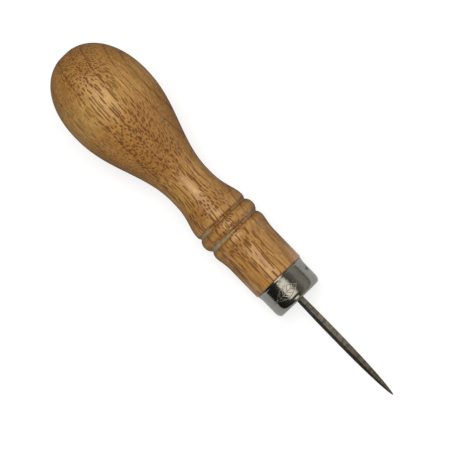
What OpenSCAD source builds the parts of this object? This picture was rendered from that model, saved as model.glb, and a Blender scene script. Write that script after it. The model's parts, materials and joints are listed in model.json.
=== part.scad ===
// Scratch awl: a turned pear-shaped haft, a drawn ferrule cup and a square-ground blade.
// It lies at rest on a level surface, tip towards +X. Millimetres, +Z up.
// Each sub-part is drawn along its own axis, butt at 0 and tip at +Z, and place() lays it down.

/* [Haft] */
// Length of the haft from its butt to the mouth of the ferrule
haft_len = 92.7; // [90:0.1:96]
// Radius of the bulb at its fullest
bulb_r = 14.9; // [13:0.1:17]
// Distance of the bulb's fullest place from the butt
bulb_at = 20; // [17:0.5:23]
// Depth sanded off the round butt, which leaves a small flat
butt_cut = 0.3; // [0.1:0.05:0.6]
// Radius of the waist at its thinnest
waist_r = 7.35; // [6.5:0.05:8.5]
// Distance of the waist from the butt
waist_at = 54; // [48:0.5:57]
// Radius of the straight barrel between the bead and the ferrule
barrel_r = 8.95; // [8.8:0.05:9.2]
// Radius of the rounded edge next to the ferrule
rim_round = 0.5; // [0.2:0.1:0.8]

/* [Bead] */
// Distance of the bead's crest from the butt
bead_at = 70.9; // [68:0.05:73]
// Radius of the haft at the bead's crest
bead_r = 10.05; // [9.8:0.05:11]
// Width of the bead between its two grooves
bead_w = 5; // [4:0.25:6]
// Radius of the haft at the bottom of both grooves
groove_r = 8.9; // [8.6:0.05:9.2]
// Radius of the lip at the head of the long cove
lip_r = 9.4; // [9.3:0.05:9.8]
// Width of the lip's roll down into the first groove
lip_w = 1.4; // [1:0.1:2]
// Radius of the shoulder past the second groove
shoulder_r = 9.65; // [9.5:0.05:10.2]
// Width of the shoulder's rise out of the second groove
shoulder_w = 2.15; // [1.5:0.05:2.5]
// Length over which the shoulder falls to the barrel
shoulder_fall = 5.8; // [4:0.2:8]

/* [Ferrule] */
// Outside radius of the ferrule
ferrule_r = 8.4; // [8:0.05:8.5]
// Thickness of the ferrule's wall and of its closed end
ferrule_wall = 0.8; // [0.6:0.05:1.2]
// Length of the ferrule
ferrule_len = 9; // [8:0.1:14]
// Outside radius of the ferrule's slightly flared mouth
mouth_r = 8.64; // [8.55:0.01:8.7]
// Length of the flared mouth
mouth_w = 1.8; // [1.5:0.1:3]
// Outside radius of the drawn corner at the closed end
corner_r = 1.2; // [0.9:0.1:1.6]
// Radius of the punch that sets the two dimples
punch_r = 2.6; // [2:0.1:3.5]
// Depth of the dimples
dimple_deep = 0.45; // [0.2:0.05:0.6]
// Distance of the dimples from the closed end
dimple_back = 5.7; // [4.5:0.1:6]
// Place of the first dimple round the axis, in degrees from the top towards +Y
dimple_turn = 65; // [0:5:180]

/* [Blade] */
// Length of blade that shows beyond the ferrule
blade_len = 40.1; // [30:0.1:60]
// Length of tang inside the ferrule and the haft
tang_len = 26; // [20:0.5:36]
// Side of the blade's square section at its thickest
blade_side = 1.98; // [1.9:0.02:2.4]
// Distance of the thickest place from the ferrule's end
belly_at = 11.7; // [8:0.1:16]
// Side of the square section where the blade leaves the ferrule
root_side = 1.76; // [1.5:0.02:1.78]
// Side of the square section at the inner end of the tang
tang_side = 0.9; // [0.6:0.1:1.2]
// Turn of the square section round the blade, in degrees
blade_turn = 26.6; // [0:0.1:45]
// Radius of the round hole that the blade leaves the ferrule by
blade_hole_r = 1.3; // [1.28:0.02:1.6]
// Radius of the pilot hole drilled for the tang
pilot_r = 1; // [0.95:0.01:1.1]
// Depth of the pilot hole beyond the tang
pilot_spare = 2; // [1:0.5:6]

/* [Hidden] */
$fn = 96;
chord = 0.8;          // length of one step along a turned outline
round_step = 15;      // degrees in one step round a small corner
butt_power = 2.1;     // fullness of the bulb's end along the axis
side_power = 2.2;     // fullness of the bulb's end across the axis
neck_lean = 1.07;     // how late the bulb runs down to the waist
cove_lean = 1.5;      // how late the long cove rises to its lip
fall_lean = 0.75;     // how early the shoulder falls to the barrel
point_power = 2.6;    // how late the blade's point begins
point_round = 0.58;   // fullness of the blade's point
root_lean = 1.5;      // how quickly the blade swells from its root
point_steps = 28;     // steps along the blade's point
mouth_break = 0.1;    // edge broken off the ferrule's mouth
belly_steps = 5;      // steps from the blade's root to its thickest place
tip_crowd = 1.6;      // how closely the steps crowd towards the blade's tip
over = 1;             // overshoot of a cutting shape

ferrule_end = haft_len + ferrule_len;
cup_floor = ferrule_end - ferrule_wall;
spigot_r = ferrule_r - ferrule_wall;
tip_at = ferrule_end + blade_len;
tang_at = ferrule_end - tang_len;

// ---- Curves. A point of an outline is [distance from the butt, radius].

// A long S between two points, level at both ends; a lean over 1 makes it start late.
function s_curve(a, b, lean) =
    let (n = ceil((b[0] - a[0]) / chord))
    [for (i = [1:n])
        let (u = i / n, s = (1 - cos(180 * pow(u, lean))) / 2)
        [a[0] + u * (b[0] - a[0]), a[1] + s * (b[1] - a[1])]];

// Part of a circle that crests at top and is lower by fall at half_w to either side.
// It runs from first to last, both counted in half widths from the crest.
function crest(top, half_w, fall, first, last) =
    let (r = (half_w * half_w + fall * fall) / (2 * fall),
         n = ceil((last - first) * half_w / chord) + 2)
    [for (i = [0:n])
        let (d = half_w * (first + (last - first) * i / n))
        [top[0] + d, top[1] - r + sqrt(r * r - d * d)]];

// A quarter round of radius r from the barrel's side down to its end, about centre c.
function quarter(c, r) =
    [for (a = [90:-round_step:0]) [c[0] + r * cos(a), c[1] + r * sin(a)]];

// The bulb's end: a full oval from the butt's flat to the fullest place.
function butt_oval() =
    let (a = bulb_at + butt_cut,
         start = acos(pow(bulb_at / a, butt_power / 2)),
         n = 28)
    [for (i = [0:n])
        let (t = start + (90 - start) * i / n)
        [bulb_at - a * pow(cos(t), 2 / butt_power), bulb_r * pow(sin(t), 2 / side_power)]];

// The same list from its last item to its first.
function backwards(list) = [for (i = [len(list) - 1:-1:0]) list[i]];

// ---- Outlines

groove_1 = bead_at - bead_w / 2;
groove_2 = bead_at + bead_w / 2;
lip_at = groove_1 - lip_w;
shoulder_at = groove_2 + shoulder_w;
barrel_at = shoulder_at + shoulder_fall;

haft_side = concat(
    butt_oval(),
    s_curve([bulb_at, bulb_r], [waist_at, waist_r], neck_lean),
    s_curve([waist_at, waist_r], [lip_at, lip_r], cove_lean),
    crest([lip_at, lip_r], lip_w, lip_r - groove_r, 0.2, 0.98),
    crest([bead_at, bead_r], bead_w / 2, bead_r - groove_r, -1, 0.98),
    crest([shoulder_at, shoulder_r], shoulder_w, shoulder_r - groove_r, -1, 0),
    s_curve([shoulder_at, shoulder_r], [barrel_at, barrel_r], fall_lean),
    quarter([haft_len - rim_round, barrel_r - rim_round], rim_round));

ferrule_side = concat(
    [[haft_len, mouth_r - mouth_break], [haft_len + mouth_break, mouth_r]],
    [[haft_len + mouth_w / 4, mouth_r]],
    s_curve([haft_len + mouth_w / 4, mouth_r], [haft_len + mouth_w, ferrule_r], 1),
    quarter([ferrule_end - corner_r, ferrule_r - corner_r], corner_r));

inner_round = max(0.1, corner_r - ferrule_wall);
cup_inside = concat(
    [[haft_len, spigot_r]],
    quarter([cup_floor - inner_round, spigot_r - inner_round], inner_round));

// Side of the blade's square at a distance z from the butt.
function side_at(z) =
    let (belly = ferrule_end + belly_at)
    z < ferrule_end ? tang_side + (root_side - tang_side) * (z - tang_at) / tang_len
    : z < belly ? blade_side - (blade_side - root_side) * pow((belly - z) / belly_at, root_lean)
    : blade_side * pow(1 - pow((z - belly) / (tip_at - belly), point_power), point_round);

point_len = blade_len - belly_at;
blade_places = concat(
    [tang_at, ferrule_end],
    [for (i = [1:belly_steps]) ferrule_end + belly_at * i / belly_steps],
    [for (i = [1:point_steps]) tip_at - point_len * pow(1 - i / (point_steps + 1), tip_crowd)]);

// ---- Lying at rest: the line that touches the bulb and the front end together.

crown = [for (p = haft_side) if (p[0] < waist_at) p];
front = [for (p = concat(haft_side, ferrule_side)) if (p[0] > waist_at) p];
lie = atan(min([for (f = front) max([for (c = crown) (c[1] - f[1]) / (f[0] - c[0])])]));
axis_up = max([for (p = crown) p[1] * cos(lie) + p[0] * sin(lie)]);
butt_x = min([for (p = crown) p[0] * cos(lie) - p[1] * sin(lie)]);
tip_x = tip_at * cos(lie);

module place() {
    translate([-(butt_x + tip_x) / 2, 0, axis_up]) rotate([0, 90 + lie, 0]) children();
}

// ---- Sub-parts

// Turns an outline of [distance, radius] points round the axis.
module turned(outline) {
    rotate_extrude() polygon([for (p = outline) [p[1], p[0]]]);
}

// The two punch marks, as balls set into the ferrule's sides.
module punches(r) {
    reach = ferrule_r - dimple_deep + punch_r;
    for (side = [0, 180])
        rotate([0, 0, 180 - dimple_turn + side])
            translate([reach, 0, ferrule_end - dimple_back]) sphere(r);
}

module blade_shape() {
    side = concat(
        [for (z = blade_places) [side_at(z) / 2, z]],
        [[0, tip_at]],
        [for (z = backwards(blade_places)) [-side_at(z) / 2, z]]);
    rotate([0, 0, 180 - blade_turn])
        intersection_for (turn = [0, 90])
            rotate([90, 0, turn])
                linear_extrude(height = blade_side + over, center = true) polygon(side);
}

// Turned wood: bulb, waist, cove, bead and barrel, with a spigot that fills the ferrule.
module handle() {
    spigot_end = cup_floor - inner_round;
    color("peru") place()
        difference() {
            turned(concat(
                [[0, 0]],
                haft_side,
                [[haft_len, spigot_r], [spigot_end, spigot_r], [cup_floor, spigot_r - inner_round]],
                [[cup_floor, 0]]));
            translate([0, 0, tang_at - pilot_spare])
                cylinder(r = pilot_r, h = cup_floor - tang_at + pilot_spare + over);
            blade_shape();
            punches(punch_r + ferrule_wall);
        }
}

// Drawn metal cup with a flared mouth, a hole for the blade and two punched dimples.
module ferrule() {
    color("silver") place()
        difference() {
            union() {
                turned(concat(cup_inside, [[cup_floor, 0], [ferrule_end, 0]], backwards(ferrule_side)));
                intersection() {
                    punches(punch_r + ferrule_wall);
                    translate([0, 0, haft_len]) cylinder(r = ferrule_r, h = ferrule_len - corner_r);
                }
            }
            punches(punch_r);
            translate([0, 0, cup_floor - over]) cylinder(r = blade_hole_r, h = ferrule_wall + 2 * over);
        }
}

// Forged steel blade, square all the way from its tapered tang to its long point.
module awl_blade() {
    color("dimgray") place() blade_shape();
}

handle();
ferrule();
awl_blade();
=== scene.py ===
import json

import bpy
import numpy as np
from mathutils import Matrix, Vector


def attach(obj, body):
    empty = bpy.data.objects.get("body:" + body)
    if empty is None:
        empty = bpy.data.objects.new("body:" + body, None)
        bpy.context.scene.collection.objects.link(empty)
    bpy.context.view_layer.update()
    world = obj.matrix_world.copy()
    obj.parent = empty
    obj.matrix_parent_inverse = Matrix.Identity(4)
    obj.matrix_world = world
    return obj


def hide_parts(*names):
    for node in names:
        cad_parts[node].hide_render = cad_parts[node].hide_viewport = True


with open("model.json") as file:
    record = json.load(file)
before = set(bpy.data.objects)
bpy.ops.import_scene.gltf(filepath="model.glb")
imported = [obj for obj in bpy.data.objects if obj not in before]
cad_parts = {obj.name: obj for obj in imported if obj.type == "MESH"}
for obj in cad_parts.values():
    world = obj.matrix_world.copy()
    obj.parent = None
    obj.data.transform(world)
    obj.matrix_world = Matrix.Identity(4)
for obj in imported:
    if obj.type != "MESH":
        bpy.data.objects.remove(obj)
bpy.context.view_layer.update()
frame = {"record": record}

# A scratch awl lying at rest: turned oak haft, nickel-plated ferrule cup, square-ground blade.
# Sizes are in millimetres along and round the tool's own axis, butt at 0 and tip at the far end.
# The axis itself, its slope and the waist's place come from the frame's mounts.

MM = 0.001

# ---- Studio
FILL = 0.5     # brightness of the even light
VIEW_LEAN, VIEW_ROLL, VIEW_WIDTH = 2.0, 45.87, 0.135     # degrees, degrees, metres
AIM_RIGHT, AIM_ABOVE = -0.00108, 0.00002                 # from the tool's middle, in metres
KEY_ACROSS, KEY_ALONG, KEY_POWER = 3.0, -10.0, 6.4       # degrees towards +Y and the tip, watts
# Colour of the floor as the ferrule sees it, as the haft's matt wood sees it, and as its gloss does: under
# the haft it is darker, painted shade, and darker still in gloss, a painted dark reflection
FLOOR_PAST_HAFT = (0.64, 0.64, 0.63)
FLOOR_SHADE_UNDER_HAFT = (0.37, 0.35, 0.31)
FLOOR_SHADE_IN_GLOSS = (0.13, 0.13, 0.125)
FLOOR_SEEN, FLOOR_LIFT = (0.35, 0.35, 0.35), 0.72     # its colour and its glow for the camera
# Walls of the room in the gloss: (degrees from overhead towards +Y, colour)
ROOM_WALLS = (
    (-90, (0.45, 0.44, 0.41)),
    (-87, (0.014, 0.014, 0.012)),
    (-50, (0.035, 0.035, 0.03)),
    (-36, (0.07, 0.068, 0.06)),
    (16, (0.09, 0.085, 0.07)),
    (30, (0.19, 0.18, 0.155)),
    (40, (0.22, 0.205, 0.17)),
    (52, (0.41, 0.38, 0.325)),
    (76, (0.39, 0.36, 0.30)),
    (88, (0.20, 0.185, 0.15)),
)
# Windows: the degrees over which each opens and closes round the tool, the same along it as sines, colour
ROOM_WINDOWS = (
    (((-32, -25), (2, 20)), ((-0.76, -0.54), (0.20, 0.34)), (1.7, 1.6, 1.37)),
    (((-24, -12), (-2, 10)), ((0.60, 0.70), (0.90, 0.96)), (1.8, 1.72, 1.5)),
)

# ---- Haft
HAFT_LEN = 92.7
BULB_R, BULB_AT, BUTT_CUT = 14.9, 20.0, 0.3
WAIST_R, WAIST_AT = 7.35, 54.0
BARREL_R, RIM_ROUND = 8.95, 0.5
BEAD_AT, BEAD_R, BEAD_W, GROOVE_R = 70.9, 10.05, 5.0, 8.9
GROOVE_DIP, GROOVE_REACH = 0.2, 0.8     # how far the hollow is drawn below that, share of a crest it leaves
LIP_R, LIP_W = 9.4, 1.4
SHOULDER_R, SHOULDER_W, SHOULDER_FALL = 9.65, 2.15, 5.8

# ---- Ferrule
FERRULE_R, FERRULE_WALL, FERRULE_LEN = 8.4, 0.8, 9.0
MOUTH_R, MOUTH_W, MOUTH_BREAK = 8.64, 1.8, 0.1
MOUTH_STEP, MOUTH_NECK = 0.85, 8.48     # where the lip has rolled down, and its radius there
CORNER_R, CORNER_DRAW = 1.2, 1.8        # the drawn corner, and how many times longer it is than deep
PUNCH_R, DIMPLE_DEEP, DIMPLE_BACK, DIMPLE_TURN = 2.6, 0.45, 5.7, 65.0
BLADE_HOLE_R = 1.3
# An engraved leaf that runs round the wall; LEAF_WIDE is half its width
LEAF_AT, LEAF_TURN, LEAF_LONG, LEAF_WIDE = 97.6, -12.0, 8.6, 1.8
LEAF_LINE, LEAF_DEEP, LEAF_VEINS, LEAF_STALK = 0.13, 0.035, 4, 0.14
LEAF_SPAN = (-58.0, 30.0)     # degrees round the wall that are meshed finely for it
NICKEL_DARK, NICKEL_MID, NICKEL_LIGHT = (0.29, 0.285, 0.27), (0.33, 0.32, 0.30), (0.38, 0.37, 0.35)
NICKEL_SCUFF, NICKEL_CUT = (0.26, 0.255, 0.24), (0.62, 0.60, 0.55)

# ---- Wood
RINGS = (-8.7, -2.1, 3.0, 6.3, 12.0, 14.5)     # mm from the axis, across the sheets
RING_TILT = 0.21       # lean of the sheets from upright
RING_SLOPE = 0.053     # run of the sheets across the tool along its length
RING_REACH = 22.0      # how far from the axis the rings are drawn
PORE_STRETCH = 2.0     # how many times wider a pore is across the rings than along them
END_GRAIN_AND_SHADE_TINT = (0.80, 0.71, 0.57)     # how much darker the wood is where it is cut across the grain, partly painted shade on slopes
BULB_SHEEN_TINT = (1.01, 1.09, 1.27)          # painted sheen: how much paler it is on the bulb, most on its -Y side
WAIST_TINT = (0.98, 0.95, 0.82)         # how much browner it is before the waist
BARREL_TINT = (0.95, 0.90, 0.81)        # how much darker it is on the barrel
OAK_DARK, OAK_LIGHT = (0.41, 0.194, 0.030), (0.52, 0.268, 0.052)
FIBRE_DARK, FIBRE_LIGHT = (0.20, 0.078, 0.011), (0.64, 0.35, 0.10)
RING_LINE, FIBRE_THREAD = (0.21, 0.078, 0.010), (0.19, 0.072, 0.010)
RAY_FLECK, PORE_DARK = (0.64, 0.38, 0.13), (0.16, 0.060, 0.010)
# In the grooves: a dark stain that is partly painted shade, and pale polish that is partly a painted
# reflection
GROOVE_STAIN_AND_SHADE, GROOVE_POLISH_AND_REFLECTION = (0.12, 0.042, 0.008), (0.40, 0.35, 0.19)

# ---- Blade
BLADE_LEN, TANG_LEN, BELLY_AT = 40.1, 26.0, 11.7
BLADE_SIDE, ROOT_SIDE, TANG_SIDE, BLADE_TURN = 1.98, 1.76, 0.9, 26.6
EDGE_SOFT = 0.05                     # softened edge of the blade, as a share of half its side
POINT_TINT = (0.62, 0.58, 0.55)      # how much darker the blade is towards its point
STEEL_DARK, STEEL_LIGHT = (0.19, 0.170, 0.143), (0.35, 0.315, 0.265)
BAND_DARK, BAND_LIGHT = (0.07, 0.062, 0.05), (0.60, 0.55, 0.48)
GROUND_LINE, STEEL_SCUFF = (0.50, 0.45, 0.38), (0.6, 0.56, 0.5)
DULL_EDGE, EDGE_STREAK, ARRIS = (0.016, 0.016, 0.013), (0.12, 0.115, 0.10), (0.012, 0.012, 0.010)
PILOT_R, PILOT_SPARE = 1.0, 2.0

FERRULE_END = HAFT_LEN + FERRULE_LEN
CUP_FLOOR = FERRULE_END - FERRULE_WALL
SPIGOT_R = FERRULE_R - FERRULE_WALL
INNER_ROUND = CORNER_R - FERRULE_WALL
TIP_AT = FERRULE_END + BLADE_LEN
TANG_AT = FERRULE_END - TANG_LEN
GROOVES = (BEAD_AT - BEAD_W / 2, BEAD_AT + BEAD_W / 2)

# ---- The tool's axis in the frame
mounts = {mount["name"]: mount for mount in frame["record"]["mounts"]}
along = np.array(mounts["ferrule_barrel"]["axis"], float)
along /= np.linalg.norm(along)
side = np.array([0.0, 1.0, 0.0])
up = np.cross(along, side)
butt = np.array(mounts["waist_clip"]["pos_m"], float) - WAIST_AT * MM * along
lie = np.arctan2(-along[2], along[0])


def at_tool(z, r, turn):
    """Points at distance z from the butt, r from the axis, turned from the top towards +Y (radians)."""
    across = r[..., None] * (np.cos(turn)[..., None] * up + np.sin(turn)[..., None] * side)
    return butt + MM * (z[..., None] * along + across)


# ---- Curves of an outline, each a pair of arrays (distance from the butt, radius)


def steps(first, last, step):
    """Evenly spaced numbers from first to last, about step apart."""
    return np.linspace(first, last, max(2, int(np.ceil(abs(last - first) / step)) + 1))


def s_curve(a, b, lean, step=0.35):
    """A long S from a to b: half a cosine wave of the share of the way, that share raised to lean."""
    u = steps(0, 1, step / abs(b[0] - a[0]))
    return a[0] + u * (b[0] - a[0]), a[1] + (b[1] - a[1]) * (1 - np.cos(np.pi * u**lean)) / 2


def crest(top, half_w, fall, first, last, step=0.1):
    """Part of a circle that is lower by fall at half_w from its top, from first to last in half widths."""
    r = (half_w**2 + fall**2) / (2 * fall)
    d = steps(first * half_w, last * half_w, step)
    return top[0] + d, top[1] - r + np.sqrt(r**2 - d**2)


def corner(centre, r, first=90, last=0, step=7.5):
    """Part of a circle of radius r about centre, from one angle to another, in degrees from the axis."""
    a = np.radians(steps(first, last, step))
    return centre[0] + r * np.cos(a), centre[1] + r * np.sin(a)


def hollow(before, after, bottom):
    """A groove's round bottom between two curves: (1-u)^2 start + 2u(1-u) bottom + u^2 end."""
    u = np.linspace(0, 1, 13)[1:-1]
    start, end = (before[0][-1], before[1][-1]), (after[0][0], after[1][0])
    return tuple((1 - u) ** 2 * start[i] + 2 * u * (1 - u) * bottom[i] + u**2 * end[i] for i in (0, 1))


def straight(a, b, step):
    """A straight line from a to b."""
    u = steps(0, 1, step / max(np.hypot(b[0] - a[0], b[1] - a[1]), step))
    return a[0] + u * (b[0] - a[0]), a[1] + u * (b[1] - a[1])


def joined(*curves):
    """Curves end to end, with points closer than a hundredth of a millimetre dropped."""
    z, r = np.concatenate([np.stack(c, 1) for c in curves]).T
    keep = np.concatenate([[True], np.hypot(np.diff(z), np.diff(r)) > 0.01])
    return z[keep], r[keep]


def butt_oval():
    """The bulb's end: |distance/length|^2.1 + |radius/bulb|^2.2 = 1, from the butt's flat to its widest."""
    power, side_power = 2.1, 2.2
    length = BULB_AT + BUTT_CUT
    t = np.linspace(np.arccos((BULB_AT / length) ** (power / 2)), np.pi / 2, 72)
    return BULB_AT - length * np.cos(t) ** (2 / power), BULB_R * np.sin(t) ** (2 / side_power)


def blade_side(z):
    """Side of the blade's square: a straight taper in the tang, a swell to the belly, a full long point."""
    belly = FERRULE_END + BELLY_AT
    tang = TANG_SIDE + (ROOT_SIDE - TANG_SIDE) * (z - TANG_AT) / TANG_LEN
    swell = BLADE_SIDE - (BLADE_SIDE - ROOT_SIDE) * np.clip((belly - z) / BELLY_AT, 0, 1) ** 1.5
    share = np.clip((z - belly) / (TIP_AT - belly), 0, 1)
    point = BLADE_SIDE * (1 - share**2.6) ** 0.58
    return np.where(z < FERRULE_END, tang, np.where(z < belly, swell, point))


# ---- Meshes from grids


def grid_piece(name, points, loop=False):
    """A closed piece from a grid of points: each row a ring round the tool, rows one after another.
    With loop the last row joins the first; otherwise the end rows close in a fan to their middle."""
    rows, cols = points.shape[:2]
    index = np.arange(rows * cols).reshape(rows, cols)
    if loop:
        index = np.vstack([index, index[:1]])
    right = np.roll(index, -1, 1)
    quads = np.stack([index[:-1], right[:-1], right[1:], index[1:]], -1).reshape(-1, 4)
    verts = [points.reshape(-1, 3)]
    fans = []
    if not loop:
        for row, turned_over in ((0, True), (rows - 1, False)):
            middle = rows * cols + len(fans)
            verts.append(points[row].mean(0)[None])
            fan = np.stack([index[row], right[row], np.full(cols, middle)], -1)
            fans.append(fan[:, ::-1] if turned_over else fan)
    verts = np.concatenate(verts)
    tris = np.concatenate(fans) if fans else np.empty((0, 3), int)
    triangles = np.concatenate([quads[:, [0, 1, 2]], quads[:, [0, 2, 3]], tris])
    a, b, c = (verts[triangles[:, i]] for i in range(3))
    if (a * np.cross(b, c)).sum() < 0:
        quads, tris = quads[:, ::-1], tris[:, ::-1]
    mesh = bpy.data.meshes.new(name)
    mesh.vertices.add(len(verts))
    mesh.vertices.foreach_set("co", verts.astype(np.float32).ravel())
    loops = np.concatenate([quads.ravel(), tris.ravel()])
    totals = np.concatenate([np.full(len(quads), 4), np.full(len(tris), 3)])
    mesh.loops.add(len(loops))
    mesh.loops.foreach_set("vertex_index", loops.astype(np.int32))
    mesh.polygons.add(len(totals))
    mesh.polygons.foreach_set("loop_start", (np.cumsum(totals) - totals).astype(np.int32))
    mesh.update(calc_edges=True)
    mesh.validate()
    mesh.shade_smooth()
    piece = bpy.data.objects.new(name, mesh)
    bpy.context.scene.collection.objects.link(piece)
    return piece


def point_values(piece, name, values):
    """Stores one number for each point of a piece's grid, for its material to read; the rest gets zero."""
    store = np.zeros(len(piece.data.vertices), np.float32)
    store[: values.size] = values.ravel()
    piece.data.attributes.new(name, "FLOAT", "POINT").data.foreach_set("value", store)


def punch_reach(z, turn, ball):
    """How far from the axis a ball set where the punch struck begins; large away from it."""
    centre = FERRULE_R - DIMPLE_DEEP + PUNCH_R
    reach = np.full(np.broadcast(z, turn).shape, 1e3)
    for mark in (DIMPLE_TURN, DIMPLE_TURN + 180):
        bend = turn - np.radians(mark)
        off = np.sin(bend) * centre
        facing = np.cos(bend) * centre
        room = ball**2 - off**2 - (z - (FERRULE_END - DIMPLE_BACK)) ** 2
        struck = (room > 0) & (np.cos(bend) > 0)
        reach = np.where(struck, np.minimum(reach, facing - np.sqrt(np.maximum(room, 0))), reach)
    return reach


def leaf_lines():
    """Centre lines of the engraved leaf, in mm as (along, round) from its middle. Its outline is half the
    width times sin(pi u) each way, its midrib runs on into a stalk, and its veins slope towards the tip."""
    u = np.linspace(0, 1, 80)
    lines = [(side_sign * LEAF_WIDE * np.sin(np.pi * u), LEAF_LONG * (u - 0.5)) for side_sign in (-1, 1)]
    lines.append((0 * u, LEAF_LONG * (-0.5 - LEAF_STALK + (1 + LEAF_STALK) * u)))
    for root in np.linspace(0.18, 0.68, LEAF_VEINS):
        tip = root + 0.16
        reach = 0.86 * LEAF_WIDE * np.sin(np.pi * tip)
        for side_sign in (-1, 1):
            lines.append((side_sign * reach * u, LEAF_LONG * (root + (tip - root) * u - 0.5)))
    return lines


def leaf_cut(z, turn):
    """How deep the graver went at each point, 0 to 1: a rounded V about each line of the leaf."""
    bend = (turn - np.radians(LEAF_TURN) + np.pi) % (2 * np.pi) - np.pi
    p, q = np.broadcast_arrays(z - LEAF_AT, bend * FERRULE_R)
    near = np.full(p.shape, 9.0)
    inside = (np.abs(p) < LEAF_WIDE + 0.5) & (np.abs(q) < LEAF_LONG)
    for a, b in leaf_lines():
        gap = np.hypot(p[inside][:, None] - a, q[inside][:, None] - b).min(1)
        near[inside] = np.minimum(near[inside], gap)
    return np.clip(1 - near / LEAF_LINE, 0, 1) ** 0.8


def soft_min(a, b, blend):
    """The smaller of two values, with the crossing rounded over a width of blend."""
    h = np.clip(0.5 + 0.5 * (b - a) / blend, 0, 1)
    return b + (a - b) * h - blend * h * (1 - h)


# ---- Pieces


def make_handle():
    """Turned round the axis: outside, spigot and pilot hole in one outline, a hair uneven from the turning;
    the punch dents the spigot, and the tang's square corners bite into the hole's wall."""
    lip_at = BEAD_AT - BEAD_W / 2 - LIP_W
    shoulder_at = BEAD_AT + BEAD_W / 2 + SHOULDER_W
    barrel_at = shoulder_at + SHOULDER_FALL
    rim = (HAFT_LEN - RIM_ROUND, BARREL_R - RIM_ROUND)
    lip = crest((lip_at, LIP_R), LIP_W, LIP_R - GROOVE_R, 0.1, GROOVE_REACH)
    bead = crest((BEAD_AT, BEAD_R), BEAD_W / 2, BEAD_R - GROOVE_R, -GROOVE_REACH, GROOVE_REACH)
    shoulder = crest((shoulder_at, SHOULDER_R), SHOULDER_W, SHOULDER_R - GROOVE_R, -GROOVE_REACH, 0)
    outside = joined(
        straight((0, 0.05), (0, butt_oval()[1][0]), 0.5),
        butt_oval(),
        s_curve((BULB_AT, BULB_R), (WAIST_AT, WAIST_R), 1.07),
        s_curve((WAIST_AT, WAIST_R), (lip_at, LIP_R), 1.5),
        lip,
        hollow(lip, bead, (GROOVES[0], GROOVE_R - GROOVE_DIP)),
        bead,
        hollow(bead, shoulder, (GROOVES[1], GROOVE_R - GROOVE_DIP)),
        shoulder,
        s_curve((shoulder_at, SHOULDER_R), (barrel_at, BARREL_R), 0.75),
        straight((barrel_at, BARREL_R), (rim[0], BARREL_R), 0.4),
        corner(rim, RIM_ROUND),
        straight((HAFT_LEN, rim[1]), (HAFT_LEN, SPIGOT_R), 0.3),
        straight((HAFT_LEN, SPIGOT_R), (CUP_FLOOR - INNER_ROUND, SPIGOT_R), 0.5),
        corner((CUP_FLOOR - INNER_ROUND, SPIGOT_R - INNER_ROUND), INNER_ROUND, step=30),
        straight((CUP_FLOOR, SPIGOT_R - INNER_ROUND), (CUP_FLOOR, PILOT_R), 1.5),
    )
    hole = straight((CUP_FLOOR, PILOT_R), (TANG_AT - PILOT_SPARE, PILOT_R), 0.8)
    turn = np.linspace(0, 2 * np.pi, 216, endpoint=False)[None]
    z, r = (v[:, None] + 0 * turn for v in outside)
    uneven = 0.02 * np.sin(2 * turn + 0.11 * z) + 0.012 * np.sin(3 * turn - 0.23 * z + 1)
    r = r + uneven * np.clip((HAFT_LEN - 1 - z) / 6, 0, 1) * np.clip(r / 4, 0, 1)
    spigot = (z > HAFT_LEN) & (r > SPIGOT_R - 0.01)
    r = np.where(spigot, np.minimum(r, punch_reach(z, turn, PUNCH_R + FERRULE_WALL)), r)
    hz, hr = (v[1:, None] + 0 * turn for v in hole)
    a = (turn + np.radians(BLADE_TURN) + np.pi / 4) % (np.pi / 2) - np.pi / 4
    tang = np.where(hz > TANG_AT, blade_side(hz) / 2 / np.cos(a), 0)
    hr = np.maximum(hr, tang)
    z, r = np.vstack([z, hz]), np.vstack([r, hr])
    piece = grid_piece("turned_handle", at_tool(z, r, turn + 0 * z))
    # The outline's slope: the wood darkens with it as end grain, and as painted shade on slopes
    along_outline, out_from_axis = np.gradient(z[:, 0]), np.gradient(r[:, 0])
    slope = np.abs(out_from_axis) / np.maximum(np.hypot(along_outline, out_from_axis), 1e-6)
    point_values(piece, "end_grain_and_shade", slope[:, None] + 0 * z)
    return piece


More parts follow.
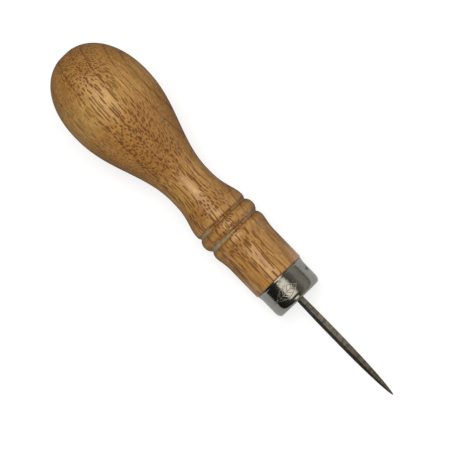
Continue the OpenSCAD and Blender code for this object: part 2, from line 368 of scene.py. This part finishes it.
def make_ferrule():
    """A closed loop of outline turned round the axis: outside from mouth to closed end, down the blade's
    hole, and back along the inside; the punch's ball pushes both walls in at the two dimples."""
    drawn = corner((FERRULE_END - CORNER_R, FERRULE_R - CORNER_R), CORNER_R, step=5)
    outside = joined(
        corner((HAFT_LEN + MOUTH_BREAK, MOUTH_R - MOUTH_BREAK), MOUTH_BREAK, 180, 90, 30),
        straight((HAFT_LEN + MOUTH_BREAK, MOUTH_R), (HAFT_LEN + MOUTH_W / 4, MOUTH_R), 0.1),
        s_curve((HAFT_LEN + MOUTH_W / 4, MOUTH_R), (HAFT_LEN + MOUTH_STEP, MOUTH_NECK), 1, 0.06),
        straight((HAFT_LEN + MOUTH_STEP, MOUTH_NECK), (HAFT_LEN + MOUTH_W, FERRULE_R), 0.1),
        straight((HAFT_LEN + MOUTH_W, FERRULE_R), (FERRULE_END - CORNER_R * CORNER_DRAW, FERRULE_R), 0.07),
        (FERRULE_END - CORNER_DRAW * (FERRULE_END - drawn[0]), drawn[1]),
        straight((FERRULE_END, FERRULE_R - CORNER_R), (FERRULE_END, BLADE_HOLE_R + 0.12), 0.7),
        corner((FERRULE_END - 0.12, BLADE_HOLE_R + 0.12), 0.12, 0, -90, 30),
        straight((FERRULE_END - 0.12, BLADE_HOLE_R), (CUP_FLOOR, BLADE_HOLE_R), 0.3),
    )
    inside = joined(
        straight((CUP_FLOOR, BLADE_HOLE_R + 0.3), (CUP_FLOOR, SPIGOT_R - INNER_ROUND), 1.2),
        corner((CUP_FLOOR - INNER_ROUND, SPIGOT_R - INNER_ROUND), INNER_ROUND, 0, 90, 22.5),
        straight((CUP_FLOOR - INNER_ROUND, SPIGOT_R), (HAFT_LEN, SPIGOT_R), 0.4),
        straight((HAFT_LEN, SPIGOT_R), (HAFT_LEN, MOUTH_R - 2 * MOUTH_BREAK), 0.4),
    )
    first, last = np.radians(LEAF_SPAN)
    turn = np.concatenate([
        np.linspace(first, last, 230, endpoint=False),
        np.linspace(last, first + 2 * np.pi, 180, endpoint=False),
    ])[None]
    z, r = (v[:, None] + 0 * turn for v in outside)
    barrel = r > FERRULE_R - CORNER_R
    struck = soft_min(r, punch_reach(z, turn, PUNCH_R), 0.25)
    cut = leaf_cut(z, turn) * (r > FERRULE_R - 0.01)
    r = np.where(barrel, struck, r) - LEAF_DEEP * cut
    iz, ir = (v[:, None] + 0 * turn for v in inside)
    wall = ir > SPIGOT_R - 0.01
    ir = np.where(wall, np.minimum(ir, punch_reach(iz, turn, PUNCH_R + FERRULE_WALL)), ir)
    z, r = np.vstack([z, iz]), np.vstack([r, ir])
    piece = grid_piece("drawn_ferrule", at_tool(z, r, turn + 0 * z), loop=True)
    point_values(piece, "engraved", cut)
    return piece


def make_blade():
    """A square with softly rounded corners carried along the axis, its side following the blade's taper;
    the grinding leaves the side a hair uneven."""
    z = np.concatenate([
        steps(TANG_AT, FERRULE_END, 0.8)[:-1],
        steps(FERRULE_END, FERRULE_END + BELLY_AT, 0.25)[:-1],
        TIP_AT - (BLADE_LEN - BELLY_AT) * np.linspace(1, 0, 130)[:-1] ** 1.5,
    ])
    half = blade_side(z) / 2
    shows = np.clip((z - FERRULE_END) / 2, 0, 1) * np.clip((TIP_AT - z) / 6, 0, 1)
    half = half * (1 + shows * (0.006 * np.sin(1.9 * z) + 0.005 * np.sin(4.3 * z + 1)))
    soft = EDGE_SOFT * half
    corner_turn = np.radians(np.linspace(-45, 45, 7))
    flats = np.array([-0.6, -0.2, 0.2, 0.6])
    ring_u, ring_v = [], []
    for quarter_turn in range(4):
        spin = quarter_turn * np.pi / 2
        flat_u = np.ones((len(z), 1)) * half[:, None] + 0 * flats
        flat_v = (half - soft)[:, None] * flats
        arc_u = (half - soft)[:, None] + soft[:, None] * np.cos(corner_turn + np.pi / 4)
        arc_v = (half - soft)[:, None] + soft[:, None] * np.sin(corner_turn + np.pi / 4)
        u, v = np.hstack([flat_u, arc_u]), np.hstack([flat_v, arc_v])
        ring_u.append(u * np.cos(spin) - v * np.sin(spin))
        ring_v.append(u * np.sin(spin) + v * np.cos(spin))
    u, v = np.hstack(ring_u), np.hstack(ring_v)
    turn = np.arctan2(v, u) + np.radians(BLADE_TURN)
    r = np.hypot(u, v)
    piece = grid_piece("ground_blade", at_tool(z[:, None] + 0 * r, r, turn))
    point_values(piece, "across_face", v / half[:, None])
    point_values(piece, "out_from_face", u / half[:, None])
    return piece


# ---- Node helpers


class Nodes:
    """Short ways to add nodes to one tree. A value given to a socket is linked if it is a socket."""

    def __init__(self, tree):
        self.tree = tree

    def feed(self, socket, value):
        if isinstance(value, bpy.types.NodeSocket):
            self.tree.links.new(value, socket)
        elif socket.type == "RGBA" and len(value) == 3:
            socket.default_value = (*value, 1)
        else:
            socket.default_value = value

    def add(self, kind, inputs=None, **settings):
        node = self.tree.nodes.new(kind)
        for name, value in settings.items():
            setattr(node, name, value)
        for name, value in (inputs or {}).items():
            self.feed(node.inputs[name], value)
        return node

    def math(self, operation, *values):
        return self.add("ShaderNodeMath", dict(enumerate(values)), operation=operation).outputs[0]

    def vector(self, operation, *values):
        node = self.add("ShaderNodeVectorMath", operation=operation)
        for i, value in enumerate(values):
            name = "Scale" if operation == "SCALE" and i == 1 else i
            self.feed(node.inputs[name], value)
        return node.outputs["Value" if operation in ("DOT_PRODUCT", "LENGTH") else "Vector"]

    def split(self, vector):
        return self.add("ShaderNodeSeparateXYZ", {0: vector}).outputs

    def pack(self, x=0.0, y=0.0, z=0.0):
        return self.add("ShaderNodeCombineXYZ", {0: x, 1: y, 2: z}).outputs[0]

    def noise(self, vector, scale=1.0, detail=2.0, roughness=0.5):
        inputs = {"Vector": vector, "Scale": scale, "Detail": detail, "Roughness": roughness}
        return self.add("ShaderNodeTexNoise", inputs).outputs["Fac"]

    def stretched(self, vector, scales, detail=2.0, roughness=0.5):
        """Noise on a vector that is scaled by its own number each way."""
        return self.noise(self.vector("MULTIPLY", vector, scales), 1.0, detail, roughness)

    def times(self, *values):
        """Two or more values multiplied together."""
        product = values[0]
        for value in values[1:]:
            product = self.math("MULTIPLY", product, value)
        return product

    def attribute(self, name):
        return self.add("ShaderNodeAttribute", attribute_name=name).outputs["Fac"]

    def span(self, value, low, high, to_low=0.0, to_high=1.0, ease="SMOOTHSTEP"):
        names = ("Value", "From Min", "From Max", "To Min", "To Max")
        inputs = dict(zip(names, (value, low, high, to_low, to_high)))
        return self.add("ShaderNodeMapRange", inputs, interpolation_type=ease).outputs[0]

    def mix(self, share, a, b, blend="MIX"):
        node = self.add("ShaderNodeMix", data_type="RGBA", blend_type=blend)
        for i, value in ((0, share), (6, a), (7, b)):
            self.feed(node.inputs[i], value)
        return node.outputs[2]


def new_group(name, inputs, outputs):
    """An empty shader node group with those sockets: (nodes, inputs by name, output node)."""
    tree = bpy.data.node_groups.new(name, "ShaderNodeTree")
    for in_out, sockets in (("INPUT", inputs), ("OUTPUT", outputs)):
        for label, (kind, value) in sockets.items():
            socket = tree.interface.new_socket(label, in_out=in_out, socket_type="NodeSocket" + kind)
            if value is not None:
                socket.default_value = value
    nodes = Nodes(tree)
    return nodes, nodes.add("NodeGroupInput").outputs, nodes.add("NodeGroupOutput")


def new_material(name):
    """A material with only its shader: (material, nodes, Principled shader, coordinates in mm).
    The coordinates run along the tool from the butt, then towards +Y, then upwards."""
    material = bpy.data.materials.new(name)
    material.use_nodes = True
    nodes = Nodes(material.node_tree)
    shader = material.node_tree.nodes["Principled BSDF"]
    turn = Matrix.Rotation(-lie, 3, "Y")
    place = nodes.add("ShaderNodeMapping", {
        "Vector": nodes.add("ShaderNodeTexCoord").outputs["Object"],
        "Rotation": (0, -lie, 0),
        "Scale": (1 / MM,) * 3,
        "Location": -(turn @ Vector(butt / MM)),
    })
    return material, nodes, shader, place.outputs[0]


def place_group(nodes, group, **inputs):
    """Places a node group, with values given by its sockets' names."""
    node = nodes.add("ShaderNodeGroup", node_tree=group)
    for name, value in inputs.items():
        nodes.feed(node.inputs[name.replace("_", " ")], value)
    return node.outputs


# ---- Shared effects


def turning_marks_group():
    """Fine rings left by a lathe or a draw die: noise that changes once per spacing along, and once per
    20 mm across."""
    nodes, given, out = new_group(
        "Turning marks",
        {"Vector": ("Vector", None), "Spacing": ("Float", 0.3)},
        {"Height": ("Float", None)},
    )
    x, y, z = nodes.split(given["Vector"])
    lines = nodes.math("DIVIDE", x, given["Spacing"])
    around = nodes.pack(lines, nodes.times(y, 0.05), nodes.times(z, 0.05))
    nodes.feed(out.inputs["Height"], nodes.noise(around, detail=3, roughness=0.6))
    return nodes.tree


def scuffs_group():
    """Fine scratches from handling: thin crests of two stretched noises that cross, thinned by a third."""
    nodes, given, out = new_group(
        "Scuffs",
        {"Vector": ("Vector", None), "Size": ("Float", 1.0), "Amount": ("Float", 0.5)},
        {"Mask": ("Float", None)},
    )
    base = nodes.vector("SCALE", given["Vector"], nodes.math("DIVIDE", 1.0, given["Size"]))
    crests = []
    for turn, stretch in ((0.5, (0.25, 3.0, 3.0)), (-0.9, (2.6, 0.3, 2.6))):
        mapping = {"Vector": base, "Rotation": (turn, turn, turn), "Scale": stretch}
        lines = nodes.noise(nodes.add("ShaderNodeMapping", mapping).outputs[0], detail=1)
        ridge = nodes.math("ABSOLUTE", nodes.math("SUBTRACT", lines, 0.5))
        crests.append(nodes.span(ridge, 0.0, 0.012, 1.0, 0.0))
    both = nodes.math("MAXIMUM", *crests)
    thin = nodes.span(nodes.noise(base, 0.6, 2), 0.5, 0.7)
    nodes.feed(out.inputs["Mask"], nodes.times(both, thin, given["Amount"]))
    return nodes.tree


def smudge_group():
    """Soft uneven gloss from fingers and polish: four octaves of noise, spread to 0 to 1."""
    nodes, given, out = new_group(
        "Smudge", {"Vector": ("Vector", None), "Size": ("Float", 5.0)}, {"Value": ("Float", None)})
    base = nodes.vector("SCALE", given["Vector"], nodes.math("DIVIDE", 1.0, given["Size"]))
    nodes.feed(out.inputs["Value"], nodes.span(nodes.noise(base, 1.0, 3, 0.6), 0.3, 0.7))
    return nodes.tree


def open_grain_group():
    """Solid ring-porous wood in tool coordinates. Growth rings are near-flat sheets that hold the grain
    direction; pores are long tubes along the grain, cells of a pattern across it, so a slope cuts them to
    dots and a level stretch to dashes; rays are thin flecks across the rings."""
    nodes, given, out = new_group(
        "Open grain",
        {"Vector": ("Vector", None), "Pore Size": ("Float", 0.15), "Pore Spacing": ("Float", 0.47)},
        {"Color": ("Color", None), "Pores": ("Float", None), "Height": ("Float", None)},
    )
    x, y, z = nodes.split(given["Vector"])

    # Slow wander of the rings and a quicker one of the fibres
    slow = nodes.vector("MULTIPLY", given["Vector"], (0.05, 0.12, 0.12))
    wander = nodes.times(nodes.math("SUBTRACT", nodes.noise(slow, detail=3), 0.5), 1.6)
    quick = nodes.vector("MULTIPLY", given["Vector"], (0.16, 0.3, 0.3))
    drift = nodes.add("ShaderNodeTexNoise", {"Vector": quick, "Scale": 1.0, "Detail": 2.0}).outputs["Color"]
    drift_y, drift_z = nodes.split(nodes.vector("SUBTRACT", drift, (0.5, 0.5, 0.5)))[1:3]
    run_y = nodes.math("ADD", y, nodes.times(x, RING_SLOPE))
    tilted = nodes.times(z, RING_TILT)
    sheet = nodes.math("ADD", nodes.math("ADD", run_y, tilted), wander)

    # Rings: a thin dark line at each, then open early wood that closes towards the next
    share = nodes.span(sheet, -RING_REACH, RING_REACH, ease="LINEAR")
    ramp = nodes.add("ShaderNodeValToRGB", {"Fac": share})
    stops = ramp.color_ramp.elements
    stops[0].position, stops[0].color = 0, (0.5, 0.5, 0.5, 1)
    stops[1].position, stops[1].color = 1, (0.5, 0.5, 0.5, 1)
    for ring in RINGS:
        for off, grey in ((-0.3, 0.8), (0.0, 0.0), (0.5, 0.45)):
            stop = stops.new((ring + off + RING_REACH) / (2 * RING_REACH))
            stop.color = (grey, grey, grey, 1)
    tone = nodes.add("ShaderNodeSeparateColor", {0: ramp.outputs["Color"]}).outputs[0]

    # Pores: in rows across the rings, so each is drawn out that way
    across = nodes.math("ADD", nodes.math("ADD", run_y, drift_y), tilted)
    upright = nodes.math("SUBTRACT", nodes.math("ADD", z, drift_z), nodes.times(run_y, RING_TILT))
    cell = nodes.pack(nodes.math("DIVIDE", across, PORE_STRETCH), upright)
    cell = nodes.vector("SCALE", cell, nodes.math("DIVIDE", 1.0, given["Pore Spacing"]))
    tubes = nodes.add("ShaderNodeTexVoronoi", {"Vector": cell, "Scale": 1.0}, voronoi_dimensions="2D")
    chance, size = nodes.add("ShaderNodeSeparateColor", {0: tubes.outputs["Color"]}).outputs[:2]
    run = nodes.pack(nodes.times(x, 0.15), nodes.times(chance, 97.0), nodes.times(size, 53.0))
    opening = nodes.span(nodes.noise(run, detail=1), 0.30, 0.42)
    radius = nodes.times(nodes.span(size, 0, 1, 0.7, 1.0, "LINEAR"), given["Pore Size"])
    radius = nodes.times(radius, nodes.span(tone, 0.0, 0.8, 1.4, 0.85))
    band = nodes.times(nodes.span(sheet, -4.5, -2.5), nodes.span(sheet, 9.0, 12.0, 1, 0))
    radius = nodes.times(radius, opening, nodes.span(band, 0, 1, 0.55, 1.0))
    away = nodes.times(tubes.outputs["Distance"], given["Pore Spacing"])
    pores = nodes.span(nodes.math("SUBTRACT", radius, away), -0.025, 0.035)

    # Fibres and rays
    fibre = nodes.stretched(given["Vector"], (0.12, 2.8, 2.8), detail=4, roughness=0.65)
    ray = nodes.span(nodes.stretched(given["Vector"], (2.0, 0.45, 0.9)), 0.5, 0.62)
    ray = nodes.times(ray, nodes.span(nodes.noise(slow, 4.0, 1), 0.42, 0.6, 0.25, 1.0))
    mottle = nodes.stretched(given["Vector"], (0.05, 0.16, 0.16))
    broken = nodes.stretched(given["Vector"], (0.35, 0.9, 0.9))

    # Fibre threads: thin level lines of a noise drawn out thirtyfold along the grain
    drawn = nodes.stretched(given["Vector"], (0.03, 0.9, 0.9), detail=3, roughness=0.6)
    level = nodes.math("PINGPONG", nodes.times(drawn, 9.0), 0.5)
    thread = nodes.times(nodes.span(level, 0.0, 0.09, 1.0, 0.0), nodes.span(broken, 0.4, 0.6))
    line = nodes.times(nodes.span(tone, 0.0, 0.4, 1.0, 0.0), nodes.span(broken, 0.35, 0.55, 0.6, 1.0))

    # Colours, laid one over another
    colour = nodes.mix(nodes.span(mottle, 0.35, 0.65), OAK_DARK, OAK_LIGHT)
    dark, light = nodes.mix(0.6, colour, FIBRE_DARK), nodes.mix(0.5, colour, FIBRE_LIGHT)
    colour = nodes.mix(nodes.span(fibre, 0.3, 0.7), dark, light)
    layers = (
        (line, 0.85, RING_LINE),
        (thread, 0.6, FIBRE_THREAD),
        (ray, 0.3, RAY_FLECK),
        (pores, 0.85, PORE_DARK),
    )
    for mask, strength, shade in layers:
        colour = nodes.mix(nodes.times(mask, strength), colour, shade)
    nodes.feed(out.inputs["Color"], colour)
    nodes.feed(out.inputs["Pores"], pores)
    nodes.feed(out.inputs["Height"], nodes.math("SUBTRACT", nodes.times(fibre, 0.8), pores))
    return nodes.tree


def oak_material(groups):
    """Open-pored oak under a thin semi-gloss lacquer that has sunk into the pores."""
    material, nodes, shader, tool = new_material("lacquered_oak")
    grain = place_group(nodes, groups["grain"], Vector=tool, Pore_Size=0.155, Pore_Spacing=0.43)
    smudge = place_group(nodes, groups["smudge"], Vector=tool, Size=6.0)["Value"]
    marks = place_group(nodes, groups["turning"], Vector=tool, Spacing=0.35)["Height"]
    x, y = nodes.split(tool)[:2]
    near = nodes.math("MINIMUM", *(nodes.math("ABSOLUTE", nodes.math("SUBTRACT", x, at)) for at in GROOVES))

    # Tints along the haft, with painted shade on its slopes and a painted sheen on the bulb
    # End grain darkens the slopes, partly painted shade
    end_grain_and_shade = nodes.span(nodes.attribute("end_grain_and_shade"), 0.04, 0.34)
    barrel = nodes.span(x, 60, 82)
    # Painted sheen on the bulb, strongest on its -Y side
    bulb = nodes.times(nodes.span(x, 5, 11, 0.4, 1.0), nodes.span(x, 21, 27, 1, 0))
    bulb = nodes.times(bulb, nodes.span(y, -4, 8, 1.0, 0.35))
    waist = nodes.times(nodes.span(x, 28, 36), nodes.span(x, 45, 50, 1, 0))
    colour = grain["Color"]
    tints = ((end_grain_and_shade, END_GRAIN_AND_SHADE_TINT), (barrel, BARREL_TINT), (bulb, BULB_SHEEN_TINT), (waist, WAIST_TINT))
    for mask, tint in tints:
        colour = nodes.mix(mask, colour, tint, "MULTIPLY")

    # Stain at the grooves' edges, partly painted shade in the hollows; and polish dried in them, most of it
    # on the -Y side, partly a painted reflection of the floor
    stain_and_shade = nodes.times(nodes.span(near, 0.08, 0.3, 0.35, 1), nodes.span(near, 0.45, 1.0, 1, 0))
    colour = nodes.mix(nodes.times(stain_and_shade, 0.55), colour, GROOVE_STAIN_AND_SHADE)
    blotch = nodes.noise(tool, 0.9, 3, 0.6)
    ends = nodes.math("ADD", y, nodes.span(x, BEAD_AT - 1, BEAD_AT + 1, 3.9, 0.5))
    ends = nodes.math("ADD", ends, nodes.times(blotch, 4.0))
    # Pale dried polish in the grooves, most on the -Y side, partly a painted reflection of the floor
    polish = nodes.times(nodes.span(near, 0.25, 0.85, 1, 0), nodes.span(ends, -0.5, 3.0, 1, 0))
    polish = nodes.times(polish, nodes.span(blotch, 0.3, 0.55, 0.45, 1.0))
    colour = nodes.mix(nodes.times(polish, 0.75), colour, GROOVE_POLISH_AND_REFLECTION)
    nodes.feed(shader.inputs["Base Color"], colour)

    rough = nodes.span(smudge, 0, 1, 0.34, 0.46, "LINEAR")
    rough = nodes.math("ADD", rough, nodes.times(grain["Pores"], 0.3))
    nodes.feed(shader.inputs["Roughness"], nodes.math("ADD", rough, nodes.times(polish, 0.25)))
    shader.inputs["Specular IOR Level"].default_value = 0.62
    worn = nodes.times(nodes.span(x, 24, 58, 0.47, 1.0), nodes.span(y, -1.2, 1.2, 0.72, 1.15))
    sunken = nodes.span(grain["Pores"], 0, 1, 1.0, 0.15, "LINEAR")
    nodes.feed(shader.inputs["Coat Weight"], nodes.times(worn, sunken))
    shader.inputs["Coat IOR"].default_value = 1.62
    shader.inputs["Coat Roughness"].default_value = 0.21
    height = nodes.math("ADD", grain["Height"], nodes.times(marks, 0.12))
    bump = nodes.add("ShaderNodeBump", {"Height": height, "Strength": 0.85, "Distance": 0.00009})
    nodes.feed(shader.inputs["Normal"], bump.outputs[0])
    return material


def nickel_material(groups):
    """Bright nickel plate on a drawn cup: soft draw lines, smudges and a few scuffs."""
    material, nodes, shader, tool = new_material("nickel_plate")
    smudge = place_group(nodes, groups["smudge"], Vector=tool, Size=3.0)["Value"]
    marks = place_group(nodes, groups["turning"], Vector=tool, Spacing=0.15)["Height"]
    scuffs = place_group(nodes, groups["scuffs"], Vector=tool, Size=1.0, Amount=0.6)["Mask"]
    mottle = place_group(nodes, groups["smudge"], Vector=tool, Size=0.8)["Value"]
    engraved = nodes.span(nodes.attribute("engraved"), 0.15, 0.7)
    colour = nodes.mix(mottle, nodes.mix(smudge, NICKEL_DARK, NICKEL_MID), NICKEL_LIGHT)
    colour = nodes.mix(scuffs, colour, NICKEL_SCUFF)
    colour = nodes.mix(nodes.times(engraved, 0.8), colour, NICKEL_CUT)
    nodes.feed(shader.inputs["Base Color"], colour)
    shader.inputs["Metallic"].default_value = 1.0
    rough = nodes.math("ADD", nodes.span(smudge, 0, 1, 0.09, 0.17, "LINEAR"), nodes.times(scuffs, 0.25))
    nodes.feed(shader.inputs["Roughness"], nodes.math("ADD", rough, nodes.times(engraved, 0.4)))
    dents = nodes.times(nodes.noise(tool, 0.9, 2), 6.5)
    height = nodes.math("ADD", dents, nodes.math("SUBTRACT", nodes.times(marks, 0.3), scuffs))
    bump = nodes.add("ShaderNodeBump", {"Height": height, "Strength": 0.4, "Distance": 0.00001})
    nodes.feed(shader.inputs["Normal"], bump.outputs[0])
    return material


def steel_material(groups):
    """Ground steel gone dark with oil: cross-ground lines, blotches, a few scuffs and dull, dark edges."""
    material, nodes, shader, tool = new_material("oiled_steel")
    smudge = place_group(nodes, groups["smudge"], Vector=tool, Size=2.2)["Value"]
    marks = place_group(nodes, groups["turning"], Vector=tool, Spacing=0.12)["Height"]
    scuffs = place_group(nodes, groups["scuffs"], Vector=tool, Size=0.6, Amount=0.7)["Mask"]
    x = nodes.split(tool)[0]
    bands = nodes.span(nodes.stretched(tool, (1.1, 0.4, 0.4), detail=3, roughness=0.7), 0.40, 0.58)
    colour = nodes.mix(smudge, STEEL_DARK, STEEL_LIGHT)
    colour = nodes.mix(bands, nodes.mix(0.6, colour, BAND_DARK), nodes.mix(0.45, colour, BAND_LIGHT))
    colour = nodes.mix(nodes.span(marks, 0.4, 0.62, 0.0, 0.45), colour, GROUND_LINE)
    colour = nodes.mix(nodes.span(x, 114, 128), colour, POINT_TINT, "MULTIPLY")

    # Each face is dull towards its edges, with a pale streak there, and the edges themselves are dark
    across, outward = nodes.attribute("across_face"), nodes.attribute("out_from_face")
    dull = nodes.span(nodes.math("ABSOLUTE", across), 0.8, 0.98)
    off_streak = nodes.math("ABSOLUTE", nodes.math("SUBTRACT", outward, 0.1))
    streak = nodes.times(nodes.span(off_streak, 0.15, 0.5, 0.22, 0), dull)
    nearer = nodes.math("MINIMUM", nodes.math("ABSOLUTE", across), nodes.math("ABSOLUTE", outward))
    arris = nodes.span(nearer, 0.78, 0.94)
    colour = nodes.mix(nodes.times(dull, 0.9), colour, DULL_EDGE)
    colour = nodes.mix(streak, colour, EDGE_STREAK)
    colour = nodes.mix(nodes.times(arris, 0.8), colour, ARRIS)
    colour = nodes.mix(scuffs, colour, STEEL_SCUFF)
    nodes.feed(shader.inputs["Base Color"], colour)
    shader.inputs["Metallic"].default_value = 0.85
    shader.inputs["Specular Tint"].default_value = (0.35, 0.35, 0.33, 1)
    nodes.feed(shader.inputs["Roughness"], nodes.span(marks, 0.3, 0.7, 0.34, 0.5, "LINEAR"))
    bump = nodes.add("ShaderNodeBump", {"Height": marks, "Strength": 0.5, "Distance": 0.00002})
    nodes.feed(shader.inputs["Normal"], bump.outputs[0])
    return material


# ---- Studio


def make_camera():
    """Looks down on the awl and leans a little towards its tip, with the tool lying down-right in view."""
    lean, roll = np.radians(VIEW_LEAN), np.radians(VIEW_ROLL)
    lens, sensor = 320.0, 36.0
    distance = VIEW_WIDTH * lens / sensor
    back = np.cos(lean) * up + np.sin(lean) * along
    down_tool = along - (along @ back) * back
    down_tool /= np.linalg.norm(down_tool)
    across = np.cross(back, down_tool)
    right = np.cos(roll) * down_tool + np.sin(roll) * across
    above = -np.sin(roll) * down_tool + np.cos(roll) * across
    middle = butt + 0.5 * TIP_AT * MM * along + AIM_RIGHT * right + AIM_ABOVE * above
    camera = bpy.data.objects.new("camera", bpy.data.cameras.new("camera"))
    camera.data.lens, camera.data.sensor_width = lens, sensor
    camera.data.clip_start, camera.data.clip_end = 0.01, 20
    turn = Matrix(np.stack([right, above, back], 1).tolist()).to_4x4()
    camera.matrix_world = Matrix.Translation(Vector(middle + distance * back)) @ turn
    bpy.context.scene.collection.objects.link(camera)
    bpy.context.scene.camera = camera


def open_sheet(name, points):
    """A stage surface from rings of points, one inside or below the next, with nothing closing its ends."""
    rows, cols = points.shape[:2]
    index = np.arange(rows * cols).reshape(rows, cols)
    right = np.roll(index, -1, 1)
    quads = np.stack([index[:-1], index[1:], right[1:], right[:-1]], -1).reshape(-1, 4)
    mesh = bpy.data.meshes.new(name)
    mesh.from_pydata(points.reshape(-1, 3).tolist(), [], quads.tolist())
    sheet = bpy.data.objects.new(name, mesh)
    bpy.context.scene.collection.objects.link(sheet)
    return sheet


def make_floor():
    """A level disc of pale matt card, 8 m across, lifted towards white for the camera."""
    turn = np.linspace(0, 2 * np.pi, 96, endpoint=False)[None]
    r = np.linspace(0, 4.0, 12)[:, None]
    floor = open_sheet("floor", np.stack([r * np.cos(turn), r * np.sin(turn), 0 * r * turn], -1))
    material = bpy.data.materials.new("pale_card")
    material.use_nodes = True
    nodes = Nodes(material.node_tree)
    shader = material.node_tree.nodes["Principled BSDF"]
    ray = nodes.add("ShaderNodeLightPath").outputs
    seen = ray["Is Camera Ray"]
    x = nodes.split(nodes.add("ShaderNodeTexCoord").outputs["Object"])[0]
    # Painted shade: the floor is darker under the haft for bounce light, and darker still in gloss
    shade_under_haft = nodes.mix(ray["Is Glossy Ray"], FLOOR_SHADE_UNDER_HAFT, FLOOR_SHADE_IN_GLOSS)
    lit = nodes.mix(nodes.span(x, 0.010, 0.024), shade_under_haft, FLOOR_PAST_HAFT)
    nodes.feed(shader.inputs["Base Color"], nodes.mix(seen, lit, FLOOR_SEEN))
    nodes.feed(shader.inputs["Emission Color"], nodes.mix(seen, (0, 0, 0), (1, 1, 1)))
    shader.inputs["Emission Strength"].default_value = FLOOR_LIFT
    shader.inputs["Roughness"].default_value = 0.9
    shader.inputs["Specular IOR Level"].default_value = 0.1
    floor.data.materials.append(material)


def make_world():
    """Even pale light from all round, for matt surfaces and the camera only."""
    world = bpy.data.worlds.new("studio")
    bpy.context.scene.world = world
    world.use_nodes = True
    background = world.node_tree.nodes["Background"]
    nodes = Nodes(world.node_tree)
    seen = nodes.add("ShaderNodeLightPath").outputs["Is Camera Ray"]
    nodes.feed(background.inputs["Color"], nodes.mix(seen, (FILL, FILL, FILL), (1, 1, 1)))
    world.cycles_visibility.glossy = False


def make_room():
    """What the gloss mirrors: a dome 6 m across. Its brightness follows the angle round the tool, grey
    towards +Y and dark towards -Y with a pale strip by the floor. A warm, soft-edged window is overhead,
    and a smaller one past the tip."""
    rise = np.linspace(0, np.pi / 2, 24)[:, None]
    turn = np.linspace(0, 2 * np.pi, 64, endpoint=False)[None]
    out, height = np.cos(rise), np.sin(rise) + 0 * turn
    ball = np.stack([out * np.cos(turn), out * np.sin(turn), height], -1)
    room = open_sheet("room", 3.0 * ball)
    material = bpy.data.materials.new("dim_room")
    material.use_nodes = True
    tree = material.node_tree
    tree.nodes.clear()
    nodes = Nodes(tree)
    x, y, z = nodes.split(nodes.vector("NORMALIZE", nodes.add("ShaderNodeTexCoord").outputs["Object"]))
    leaning = nodes.math("DEGREES", nodes.math("ARCTAN2", y, z))
    walls = nodes.add("ShaderNodeValToRGB", {"Fac": nodes.span(leaning, -90, 90, ease="LINEAR")})
    stops = walls.color_ramp.elements
    for spare in list(stops)[1:]:
        stops.remove(spare)
    stops[0].position, stops[0].color = 0, (*ROOM_WALLS[0][1], 1)
    for degrees, colour in ROOM_WALLS[1:]:
        stops.new((degrees + 90) / 180).color = (*colour, 1)
    glow = walls.outputs["Color"]
    for (left, right), (near, far), colour in ROOM_WINDOWS:
        open_across = nodes.times(nodes.span(leaning, *left), nodes.span(leaning, *right, 1, 0))
        open_along = nodes.times(nodes.span(x, *near), nodes.span(x, *far, 1, 0))
        glow = nodes.mix(nodes.times(open_across, open_along), glow, colour)
    lamp = nodes.add("ShaderNodeEmission", {"Color": glow})
    tree.links.new(lamp.outputs[0], nodes.add("ShaderNodeOutputMaterial").inputs[0])
    material.cycles.emission_sampling = "NONE"
    room.data.materials.append(material)
    for kind in ("camera", "diffuse", "transmission", "volume_scatter", "shadow"):
        setattr(room, "visible_" + kind, False)


def make_light(name, direction, distance, width, length, power, colour):
    """A soft rectangular light that faces the awl from that way. The gloss sees the room in its place."""
    lamp = bpy.data.lights.new(name, "AREA")
    lamp.shape, lamp.size, lamp.size_y = "RECTANGLE", width, length
    lamp.energy, lamp.color = power, colour
    light = bpy.data.objects.new(name, lamp)
    way = Vector(direction).normalized()
    facing = way.to_track_quat("Z", "Y").to_matrix().to_4x4()
    light.matrix_world = Matrix.Translation(way * distance) @ facing
    bpy.context.scene.collection.objects.link(light)
    light.visible_glossy = False


groups = {
    "turning": turning_marks_group(),
    "scuffs": scuffs_group(),
    "smudge": smudge_group(),
    "grain": open_grain_group(),
}
PIECES = (
    (make_handle, "handle", "haft_wood", oak_material),
    (make_ferrule, "ferrule", "ferrule_nickel", nickel_material),
    (make_blade, "awl_blade", "blade_steel", steel_material),
)
for make, node, slot, finish in PIECES:
    piece = make()
    piece.data.materials.append(finish(groups))
    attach(piece, "root")
    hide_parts(node)

make_camera()
make_floor()
make_world()
make_room()
key_way = up + np.tan(np.radians(KEY_ACROSS)) * side + np.tan(np.radians(KEY_ALONG)) * along
make_light("softbox", key_way, 1.0, 0.6, 0.6, KEY_POWER, (1.0, 0.97, 0.92))
bpy.context.scene.view_settings.view_transform = "Standard"
